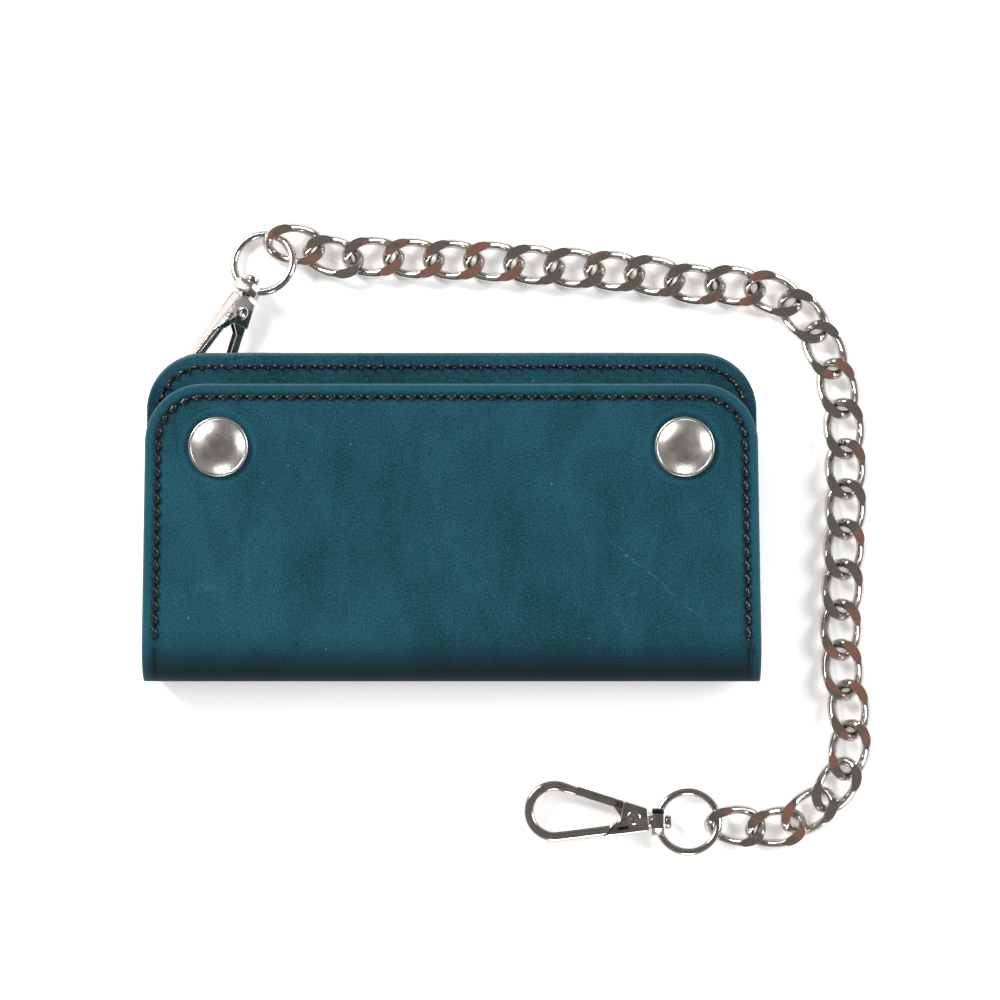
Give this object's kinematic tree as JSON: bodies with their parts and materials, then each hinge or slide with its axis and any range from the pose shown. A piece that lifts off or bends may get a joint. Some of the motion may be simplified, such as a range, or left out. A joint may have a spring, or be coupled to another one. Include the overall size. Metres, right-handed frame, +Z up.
{
  "type": "chain wallet",
  "caption": "Long leather wallet that folds shut on two snaps, with a curb chain from a ring at its corner to a free swivel snap hook.",
  "frame": {"origin": "middle of the whole object's footprint, on the surface that it lies on", "axes": "+X along the fold, with the chain beyond that end; +Y from the fold towards the opening; +Z up, out of the closed front"},
  "size_m": [0.2256, 0.1969, 0.0279],
  "materials": {
    "teal_leather": "matt pull-up leather, mottled teal with light scuffs",
    "lining_leather": "matt smooth leather, darker than the cover",
    "thread": "waxed, twisted, near black",
    "zip_cloth": "woven black tape",
    "zip_brass": "antique brass",
    "satin_nickel": "satin nickel plate",
    "bright_nickel": "polished nickel plate",
    "spring_steel": "drawn wire"
  },
  "bodies": {
    "back_panel": {"cover_back": "teal_leather", "lining_back": "lining_leather", "stitching_back": "thread", "snap_studs": "satin_nickel", "snap_posts": "satin_nickel", "bill_divider": "lining_leather", "zip_pocket": "lining_leather", "zip_tape": "zip_cloth", "zip_teeth": "zip_brass", "ring_tab": "teal_leather", "tab_rivet": "satin_nickel"},
    "front_panel": {"cover_front": "teal_leather", "lining_front": "lining_leather", "stitching_front": "thread", "snap_caps": "satin_nickel", "snap_sockets": "satin_nickel", "card_slots": "lining_leather"},
    "zip_slider": {"zip_slider": "bright_nickel"},
    "zip_pull": {"zip_pull": "bright_nickel"},
    "d_ring": {"d_ring": "bright_nickel"},
    "hook_1": {"hook_1_body": "bright_nickel", "hook_1_pin": "bright_nickel", "hook_1_spring": "spring_steel"},
    "gate_1": {"hook_1_gate": "bright_nickel"},
    "swivel_ring_1": {"ring_1": "bright_nickel"},
    "link_01": {"link_01": "bright_nickel"},
    "link_02": {"link_02": "bright_nickel"},
    "link_03": {"link_03": "bright_nickel"},
    "link_04": {"link_04": "bright_nickel"},
    "link_05": {"link_05": "bright_nickel"},
    "link_06": {"link_06": "bright_nickel"},
    "link_07": {"link_07": "bright_nickel"},
    "link_08": {"link_08": "bright_nickel"},
    "link_09": {"link_09": "bright_nickel"},
    "link_10": {"link_10": "bright_nickel"},
    "link_11": {"link_11": "bright_nickel"},
    "link_12": {"link_12": "bright_nickel"},
    "link_13": {"link_13": "bright_nickel"},
    "link_14": {"link_14": "bright_nickel"},
    "link_15": {"link_15": "bright_nickel"},
    "link_16": {"link_16": "bright_nickel"},
    "link_17": {"link_17": "bright_nickel"},
    "link_18": {"link_18": "bright_nickel"},
    "link_19": {"link_19": "bright_nickel"},
    "link_20": {"link_20": "bright_nickel"},
    "link_21": {"link_21": "bright_nickel"},
    "link_22": {"link_22": "bright_nickel"},
    "link_23": {"link_23": "bright_nickel"},
    "link_24": {"link_24": "bright_nickel"},
    "link_25": {"link_25": "bright_nickel"},
    "link_26": {"link_26": "bright_nickel"},
    "link_27": {"link_27": "bright_nickel"},
    "link_28": {"link_28": "bright_nickel"},
    "link_29": {"link_29": "bright_nickel"},
    "swivel_ring_2": {"ring_2": "bright_nickel"},
    "hook_2": {"hook_2_body": "bright_nickel", "hook_2_pin": "bright_nickel", "hook_2_spring": "spring_steel"},
    "gate_2": {"hook_2_gate": "bright_nickel"}
  },
  "joints": [
    {"name": "cover_fold", "type": "hinge", "parent": "back_panel", "child": "front_panel", "pos_m": [-0.0175, -0.04375, 0.011], "axis": [1, 0, 0], "range_deg": [0, 150]},
    {"name": "zip_slide", "type": "slide", "parent": "back_panel", "child": "zip_slider", "axis": [1, 0, 0], "range_m": [0, 0.132]},
    {"name": "zip_pull_lift", "type": "hinge", "parent": "zip_slider", "child": "zip_pull", "pos_m": [-0.0835, 0.00709, 0.01584], "axis": [0, -0.9799, -0.1994], "range_deg": [0, 6]},
    {"name": "d_ring_swing", "type": "hinge", "parent": "back_panel", "child": "d_ring", "pos_m": [-0.1005, 0.0366, 0.01123], "axis": [-1, 0, 0], "range_deg": [0, 12]},
    {"name": "hook_1_turn", "type": "hinge", "parent": "d_ring", "child": "hook_1", "pos_m": [-0.1005, 0.04792, 0.0083], "axis": [0, 0, 1], "range_deg": [-3, 4]},
    {"name": "gate_1_open", "type": "hinge", "parent": "hook_1", "child": "gate_1", "pos_m": [-0.08401, 0.07088, 0.00598], "axis": [-0.5951, 0.2314, -0.7696], "range_deg": [0, 28], "stiffness_Nm_per_rad": 0.03, "springref_deg": -17.19},
    {"name": "swivel_1", "type": "hinge", "parent": "hook_1", "child": "swivel_ring_1", "pos_m": [-0.081, 0.078, 0.0058], "axis": [0.51, 0.8488, -0.1392], "continuous": true},
    {"name": "link_01_turn", "type": "hinge", "parent": "swivel_ring_1", "child": "link_01", "pos_m": [-0.07073, 0.09015, 0.00321], "axis": [0, 0, 1], "range_deg": [-2, 8]},
    {"name": "link_02_turn", "type": "hinge", "parent": "link_01", "child": "link_02", "pos_m": [-0.06051, 0.09003, 0.00316], "axis": [0, 0, 1], "range_deg": [-2, 3]},
    {"name": "link_03_turn", "type": "hinge", "parent": "link_02", "child": "link_03", "pos_m": [-0.04833, 0.08767, 0.0022], "axis": [0, 0, 1], "range_deg": [-4, 5]},
    {"name": "link_04_turn", "type": "hinge", "parent": "link_03", "child": "link_04", "pos_m": [-0.03575, 0.08778, 0.00262], "axis": [0, 0, 1], "range_deg": [-4, 12]},
    {"name": "link_05_turn", "type": "hinge", "parent": "link_04", "child": "link_05", "pos_m": [-0.02325, 0.08725, 0.0025], "axis": [0, 0, 1], "range_deg": [-4, 12]},
    {"name": "link_06_turn", "type": "hinge", "parent": "link_05", "child": "link_06", "pos_m": [-0.01075, 0.08676, 0.00245], "axis": [0, 0, 1], "range_deg": [-4, 12]},
    {"name": "link_07_turn", "type": "hinge", "parent": "link_06", "child": "link_07", "pos_m": [0.00175, 0.08601, 0.00255], "axis": [0, 0, 1], "range_deg": [-4, 12]},
    {"name": "link_08_turn", "type": "hinge", "parent": "link_07", "child": "link_08", "pos_m": [0.01425, 0.085, 0.0025], "axis": [0, 0, 1], "range_deg": [-4, 12]},
    {"name": "link_09_turn", "type": "hinge", "parent": "link_08", "child": "link_09", "pos_m": [0.02675, 0.08401, 0.00245], "axis": [0, 0, 1], "range_deg": [-4, 12]},
    {"name": "link_10_turn", "type": "hinge", "parent": "link_09", "child": "link_10", "pos_m": [0.03926, 0.08279, 0.00245], "axis": [0, 0, 1], "range_deg": [-4, 12]},
    {"name": "link_11_turn", "type": "hinge", "parent": "link_10", "child": "link_11", "pos_m": [0.05174, 0.08066, 0.00277], "axis": [0, 0, 1], "range_deg": [-4, 12]},
    {"name": "link_12_turn", "type": "hinge", "parent": "link_11", "child": "link_12", "pos_m": [0.06425, 0.07926, 0.00217], "axis": [0, 0, 1], "range_deg": [-4, 12]},
    {"name": "link_13_turn", "type": "hinge", "parent": "link_12", "child": "link_13", "pos_m": [0.07665, 0.07812, 0.00219], "axis": [0, 0, 1], "range_deg": [-4, 12]},
    {"name": "link_14_turn", "type": "hinge", "parent": "link_13", "child": "link_14", "pos_m": [0.08756, 0.07344, 0.00255], "axis": [0, 0, 1], "range_deg": [-4, 12]},
    {"name": "link_15_turn", "type": "hinge", "parent": "link_14", "child": "link_15", "pos_m": [0.09554, 0.06447, 0.00265], "axis": [0, 0, 1], "range_deg": [-4, 12]},
    {"name": "link_16_turn", "type": "hinge", "parent": "link_15", "child": "link_16", "pos_m": [0.10075, 0.0531, 0.00261], "axis": [0, 0, 1], "range_deg": [-4, 12]},
    {"name": "link_17_turn", "type": "hinge", "parent": "link_16", "child": "link_17", "pos_m": [0.10374, 0.04079, 0.00255], "axis": [0, 0, 1], "range_deg": [-4, 12]},
    {"name": "link_18_turn", "type": "hinge", "parent": "link_17", "child": "link_18", "pos_m": [0.10488, 0.02826, 0.00255], "axis": [0, 0, 1], "range_deg": [-4, 12]},
    {"name": "link_19_turn", "type": "hinge", "parent": "link_18", "child": "link_19", "pos_m": [0.10503, 0.01575, 0.0025], "axis": [0, 0, 1], "range_deg": [-4, 12]},
    {"name": "link_20_turn", "type": "hinge", "parent": "link_19", "child": "link_20", "pos_m": [0.10476, 0.00325, 0.00255], "axis": [0, 0, 1], "range_deg": [-4, 12]},
    {"name": "link_21_turn", "type": "hinge", "parent": "link_20", "child": "link_21", "pos_m": [0.10425, -0.00925, 0.0025], "axis": [0, 0, 1], "range_deg": [-4, 12]},
    {"name": "link_22_turn", "type": "hinge", "parent": "link_21", "child": "link_22", "pos_m": [0.10372, -0.02175, 0.00261], "axis": [0, 0, 1], "range_deg": [-4, 12]},
    {"name": "link_23_turn", "type": "hinge", "parent": "link_22", "child": "link_23", "pos_m": [0.10361, -0.03426, 0.0025], "axis": [0, 0, 1], "range_deg": [-4, 12]},
    {"name": "link_24_turn", "type": "hinge", "parent": "link_23", "child": "link_24", "pos_m": [0.10501, -0.04675, 0.00223], "axis": [0, 0, 1], "range_deg": [-4, 12]},
    {"name": "link_25_turn", "type": "hinge", "parent": "link_24", "child": "link_25", "pos_m": [0.10634, -0.05929, 0.00229], "axis": [0, 0, 1], "range_deg": [-4, 12]},
    {"name": "link_26_turn", "type": "hinge", "parent": "link_25", "child": "link_26", "pos_m": [0.10443, -0.07119, 0.0024], "axis": [0, 0, 1], "range_deg": [-4, 12]},
    {"name": "link_27_turn", "type": "hinge", "parent": "link_26", "child": "link_27", "pos_m": [0.09811, -0.0808, 0.00271], "axis": [0, 0, 1], "range_deg": [-4, 12]},
    {"name": "link_28_turn", "type": "hinge", "parent": "link_27", "child": "link_28", "pos_m": [0.08851, -0.0875, 0.00242], "axis": [0, 0, 1], "range_deg": [-4, 12]},
    {"name": "link_29_turn", "type": "hinge", "parent": "link_28", "child": "link_29", "pos_m": [0.07692, -0.08944, 0.00308], "axis": [0, 0, 1], "range_deg": [-2, 12]},
    {"name": "ring_2_turn", "type": "hinge", "parent": "link_29", "child": "swivel_ring_2", "pos_m": [0.06375, -0.0883, 0.00364], "axis": [0, 0, 1], "range_deg": [-4, 6]},
    {"name": "swivel_2", "type": "hinge", "parent": "swivel_ring_2", "child": "hook_2", "pos_m": [0.0465, -0.0877, 0.00345], "axis": [-1, 0, -0.007], "continuous": true},
    {"name": "gate_2_open", "type": "hinge", "parent": "hook_2", "child": "gate_2", "pos_m": [0.0389, -0.0863, 0.0034], "axis": [-0.007, 0, 1], "range_deg": [0, 28], "stiffness_Nm_per_rad": 0.03, "springref_deg": -17.19}
  ]
}
